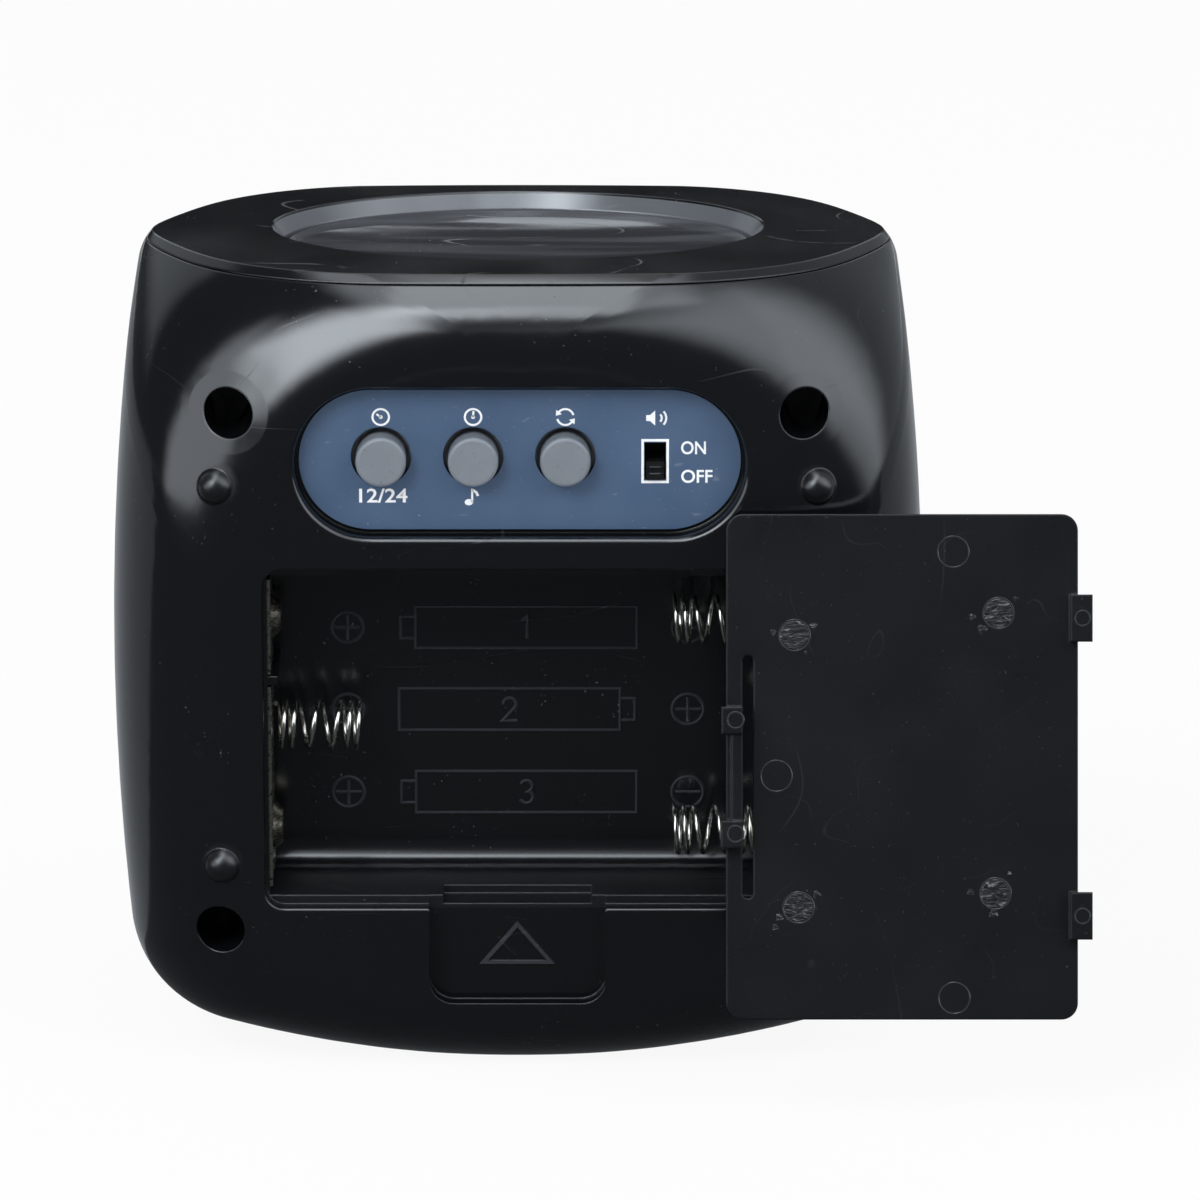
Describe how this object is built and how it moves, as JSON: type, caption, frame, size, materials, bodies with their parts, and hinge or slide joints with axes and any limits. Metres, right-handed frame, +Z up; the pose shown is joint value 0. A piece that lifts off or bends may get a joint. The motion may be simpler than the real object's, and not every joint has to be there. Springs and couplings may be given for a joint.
{
  "type": "talking clock",
  "caption": "Pillow-shaped table clock that speaks the time when its oval top key is pressed, seen with its battery bay open and the cover taken off.",
  "frame": {"origin": "middle of the flat base that the clock stands on", "axes": "+X to the right as seen from behind, +Y from the back with the battery bay towards the display, +Z up"},
  "size_m": [0.0985, 0.0629, 0.082],
  "materials": {
    "case_black": "gloss black moulded plastic",
    "key_black": "polished black moulded plastic",
    "cover_black": "satin black moulded plastic with scuffs",
    "lens_clear": "clear lens, lightly smoked",
    "lcd_grey": "liquid crystal glass with polarisers",
    "backlight_white": "milky light guide",
    "zebra_rubber": "layered conductive silicone",
    "frame_black": "black moulded plastic",
    "board_green": "solder mask over glass fibre",
    "resin_black": "poured black resin",
    "capacitor_sleeve": "shrink sleeve",
    "label_blue": "printed blue-grey film",
    "button_grey": "mid grey moulded plastic",
    "switch_black": "black switch moulding",
    "plunger_white": "natural nylon",
    "contact_steel": "nickel plated sheet steel",
    "spring_steel": "nickel plated wire",
    "screw_steel": "zinc plated steel",
    "gasket_foam": "closed cell foam ring",
    "speaker_steel": "black pressed steel",
    "cone_paper": "dark pressed paper",
    "magnet_grey": "bare ferrite",
    "lead_red": "red insulation",
    "lead_black": "black insulation",
    "ribbon_grey": "grey flat cable"
  },
  "bodies": {
    "case": {"rear_housing": "case_black", "front_housing": "case_black", "display_lens": "lens_clear", "lcd_panel": "lcd_grey", "backlight_panel": "backlight_white", "zebra_strip": "zebra_rubber", "lcd_frame": "frame_black", "main_circuit_board": "board_green", "chip_blob": "resin_black", "crystal_can": "screw_steel", "capacitors": "capacitor_sleeve", "control_label": "label_blue", "button_switches": "switch_black", "control_board": "board_green", "slide_switch_case": "switch_black", "talk_switch": "switch_black", "talk_switch_board": "board_green", "positive_contact": "contact_steel", "left_link_contact": "contact_steel", "right_link_contact": "contact_steel", "negative_contact": "contact_steel", "spring_right_top": "spring_steel", "spring_left_middle": "spring_steel", "spring_right_bottom": "spring_steel", "speaker_gasket": "gasket_foam", "speaker_frame": "speaker_steel", "speaker_cone": "cone_paper", "speaker_magnet": "magnet_grey", "case_screws": "screw_steel", "board_screws": "screw_steel", "battery_lead_red": "lead_red", "battery_lead_black": "lead_black", "speaker_lead_plus": "lead_red", "speaker_lead_minus": "lead_black", "control_cable": "ribbon_grey", "key_cable": "ribbon_grey"},
    "hour_button": {"hour_button": "button_grey", "hour_plunger": "plunger_white"},
    "minute_button": {"minute_button": "button_grey", "minute_plunger": "plunger_white"},
    "mode_button": {"mode_button": "button_grey", "mode_plunger": "plunger_white"},
    "talk_key": {"talk_key": "key_black", "talk_switch_plunger": "plunger_white"},
    "slide_switch_knob": {"slide_switch_knob": "switch_black"},
    "battery_cover": {"battery_cover": "cover_black"}
  },
  "joints": [
    {"name": "hour_press", "type": "slide", "parent": "case", "child": "hour_button", "axis": [0, 1, 0], "range_m": [0, 0.0008], "stiffness_N_per_m": 600, "springref_m": -0.0005},
    {"name": "minute_press", "type": "slide", "parent": "case", "child": "minute_button", "axis": [0, 1, 0], "range_m": [0, 0.0008], "stiffness_N_per_m": 600, "springref_m": -0.0005},
    {"name": "mode_press", "type": "slide", "parent": "case", "child": "mode_button", "axis": [0, 1, 0], "range_m": [0, 0.0008], "stiffness_N_per_m": 600, "springref_m": -0.0005},
    {"name": "talk_press", "type": "slide", "parent": "case", "child": "talk_key", "axis": [0, 0, -1], "range_m": [0, 0.0012], "stiffness_N_per_m": 500, "springref_m": -0.001},
    {"name": "switch_slide", "type": "slide", "parent": "case", "child": "slide_switch_knob", "axis": [0, 0, 1], "range_m": [0, 0.0018]},
    {"name": "cover_lift_off", "type": "slide", "parent": "case", "child": "battery_cover", "axis": [0, -1, 0], "range_m": [0, 0.05]}
  ]
}
